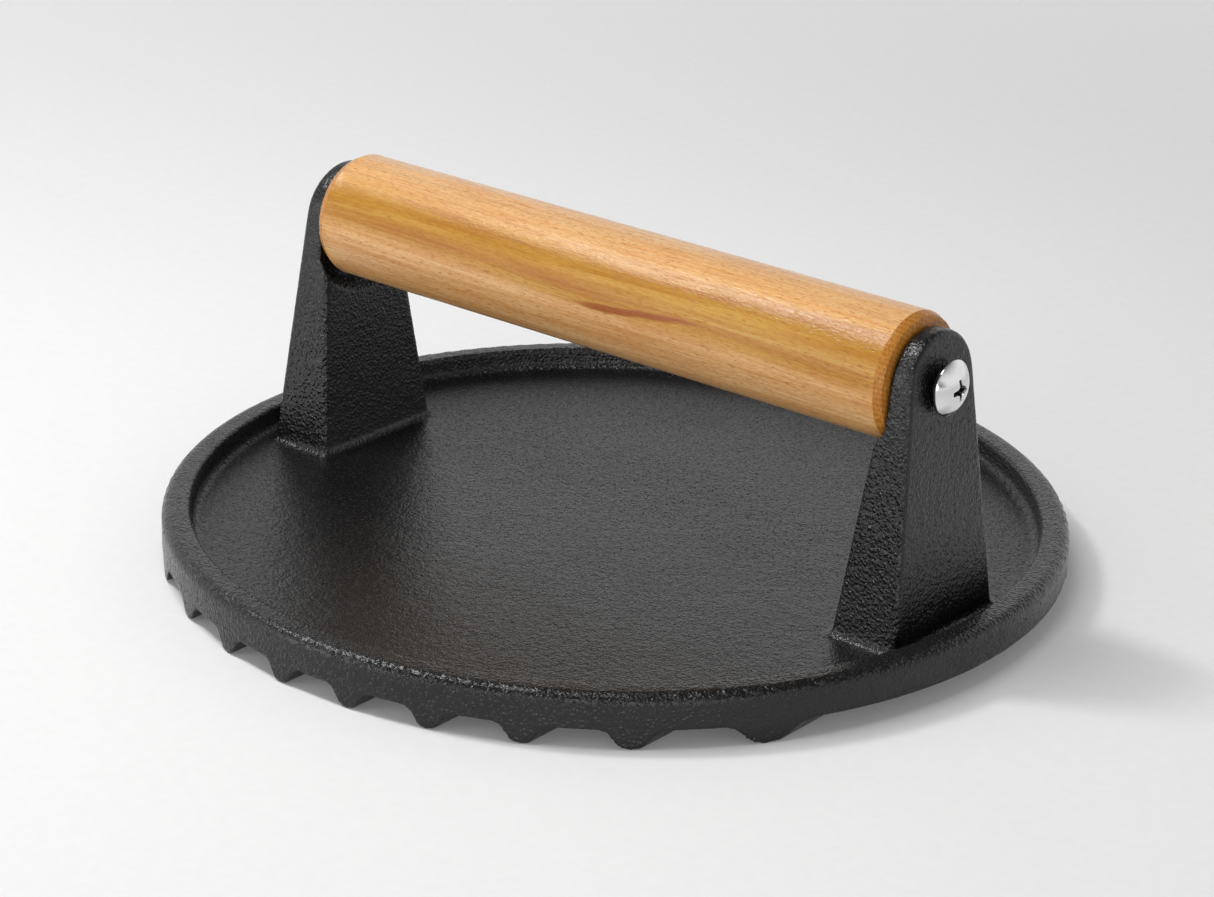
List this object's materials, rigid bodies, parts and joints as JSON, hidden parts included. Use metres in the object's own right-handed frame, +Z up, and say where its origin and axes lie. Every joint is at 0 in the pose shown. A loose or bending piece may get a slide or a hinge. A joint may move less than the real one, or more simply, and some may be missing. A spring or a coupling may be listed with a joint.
{
  "type": "patty press",
  "caption": "Round cast-iron press plate, ribbed underneath and rimmed above, with upright posts that carry a turned wooden grip on screws.",
  "frame": {"origin": "on the standing plane, under the middle of the round plate", "axes": "+X along the grip, from one post to the other; +Y along the ribs; +Z up"},
  "size_m": [0.2, 0.2, 0.0742],
  "materials": {
    "cast_iron": "sand-cast and seasoned black, fine orange-peel texture, semi-gloss",
    "beech": "turned beech, clear lacquer, fine dark flecks along the axis",
    "bright_steel": "polished, nickel-plated steel",
    "black_spring_steel": "black-oxide spring steel",
    "insert_brass": "turned brass"
  },
  "bodies": {
    "press": {"press_plate": "cast_iron"},
    "handle": {"handle_grip": "beech", "insert_nut_right": "insert_brass", "lock_washer_right": "black_spring_steel", "screw_right": "bright_steel", "insert_nut_left": "insert_brass", "lock_washer_left": "black_spring_steel", "screw_left": "bright_steel"}
  },
  "joints": [
    {"name": "handle_turn", "type": "hinge", "parent": "press", "child": "handle", "pos_m": [0, 0, 0.0602], "axis": [1, 0, 0], "continuous": true}
  ]
}
